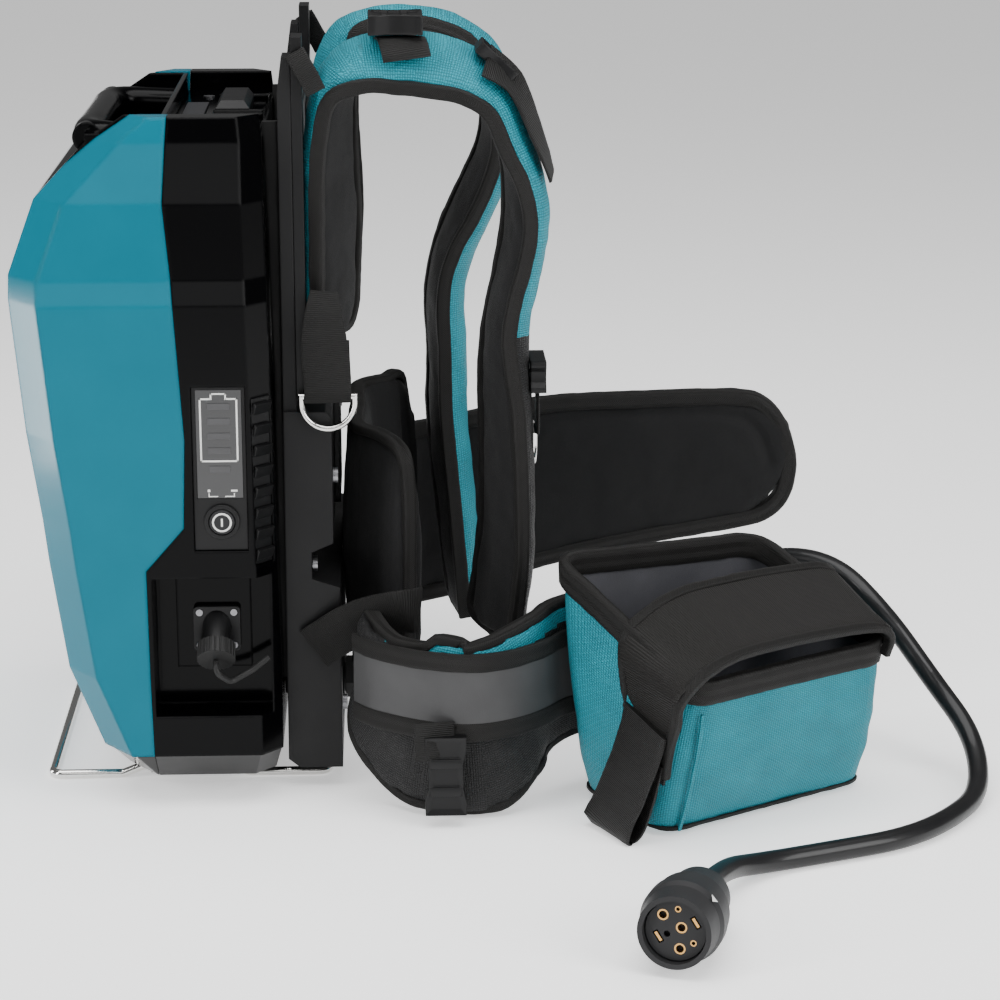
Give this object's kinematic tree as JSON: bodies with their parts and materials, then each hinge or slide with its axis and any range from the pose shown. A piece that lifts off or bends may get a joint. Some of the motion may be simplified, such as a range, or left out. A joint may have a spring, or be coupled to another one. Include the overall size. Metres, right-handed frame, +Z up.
{
  "type": "backpack battery power pack",
  "caption": "Hard-shell battery pack worn on the back, with sliding padded harness, hip belt, belt pouch, charge port, wire stand and a supply cable with a round plug.",
  "frame": {"origin": "middle of the flat underside of the base, on the ground", "axes": "+X the way the wearer faces, +Y the wearer's left, +Z up"},
  "size_m": [0.6268, 0.5744, 0.503],
  "materials": {
    "shell_teal": "gloss moulded",
    "shell_black": "satin moulded",
    "part_black": "matt moulded",
    "steel": "polished wire",
    "screw_steel": "black oxide",
    "label": "matt film",
    "lens": "gloss window",
    "print": "printed",
    "button": "satin",
    "soft_black": "matt",
    "cell": "shrink sleeve",
    "nickel": "plated",
    "board": "coated",
    "strap_fabric": "coated weave",
    "pad_fabric": "heavy weave",
    "webbing": "ribbed webbing",
    "reflective": "grey reflective tape",
    "cable_rubber": "satin jacket",
    "plug_plastic": "fine grain",
    "brass": "polished"
  },
  "bodies": {
    "pack": {"rear_cover": "shell_teal", "main_housing": "shell_black", "side_vents": "part_black", "skirt_rear": "shell_teal", "base_tray": "shell_black", "carry_handle": "shell_black", "top_deck": "shell_black", "case_screws": "screw_steel", "deck_label": "label", "panel_bezel": "shell_black", "gauge_lens": "lens", "gauge_bars": "print", "status_led": "print", "button_collar": "shell_black", "button_switch": "part_black", "port_plate": "shell_black", "port_flange": "part_black", "port_barrel": "part_black", "cap_tether": "soft_black", "cells": "cell", "cell_holders": "part_black", "bus_bars": "nickel", "control_board": "board", "back_frame": "part_black", "frame_bolts": "screw_steel", "stand_wire": "steel", "stand_clips": "part_black", "lumbar_pad": "pad_fabric", "belt_wing_right": "pad_fabric", "belt_strip_right": "reflective", "belt_wing_left": "pad_fabric", "belt_webbing": "webbing", "belt_buckle": "part_black", "pouch_body": "strap_fabric", "pouch_flap": "pad_fabric", "pouch_strap": "webbing", "cable": "cable_rubber", "cable_gland": "part_black", "plug_body": "plug_plastic", "plug_insert": "plug_plastic", "plug_contacts": "brass"},
    "harness": {"carriage": "part_black", "yoke_plate": "shell_teal", "yoke_rivets": "screw_steel", "shoulder_strap_right": "strap_fabric", "shoulder_strap_left": "strap_fabric", "strap_webbing_right": "webbing", "chest_webbing": "webbing", "chest_buckle": "part_black", "strap_buckle": "part_black", "lift_webbing": "webbing", "tail_webbing": "webbing", "front_webbing": "webbing", "strap_adjuster": "part_black"},
    "button": {"power_button": "button"},
    "cap": {"port_cap": "soft_black"},
    "latch": {"harness_latch": "shell_black"},
    "ring_right": {"d_ring_right": "steel"},
    "ring_front": {"d_ring_front": "steel"},
    "sleeve": {"plug_sleeve": "plug_plastic"}
  },
  "joints": [
    {"name": "harness_height", "type": "slide", "parent": "pack", "child": "harness", "axis": [0, 0, 1], "range_m": [0, 0.05]},
    {"name": "button_press", "type": "slide", "parent": "pack", "child": "button", "axis": [0, 1, 0], "range_m": [0, 0.0016], "stiffness_N_per_m": 900, "springref_m": -0.0008},
    {"name": "cap_turn", "type": "hinge", "parent": "pack", "child": "cap", "pos_m": [0.005, -0.14516, 0.10572], "axis": [0, -0.766, -0.6428], "range_deg": [0, 60]},
    {"name": "latch_slide", "type": "slide", "parent": "pack", "child": "latch", "axis": [1, 0, 0], "range_m": [0, 0.008]},
    {"name": "ring_right_swing", "type": "hinge", "parent": "harness", "child": "ring_right", "pos_m": [0.078, -0.1185, 0.265], "axis": [-1, 0, 0], "range_deg": [0, 85]},
    {"name": "ring_front_swing", "type": "hinge", "parent": "harness", "child": "ring_front", "pos_m": [0.2098, -0.085, 0.234], "axis": [0, -1, 0], "range_deg": [0, 85]},
    {"name": "sleeve_turn", "type": "hinge", "parent": "pack", "child": "sleeve", "pos_m": [0.2715, -0.417, 0.02731], "axis": [0.3194, 0.9436, -0.0872], "range_deg": [0, 40]}
  ]
}
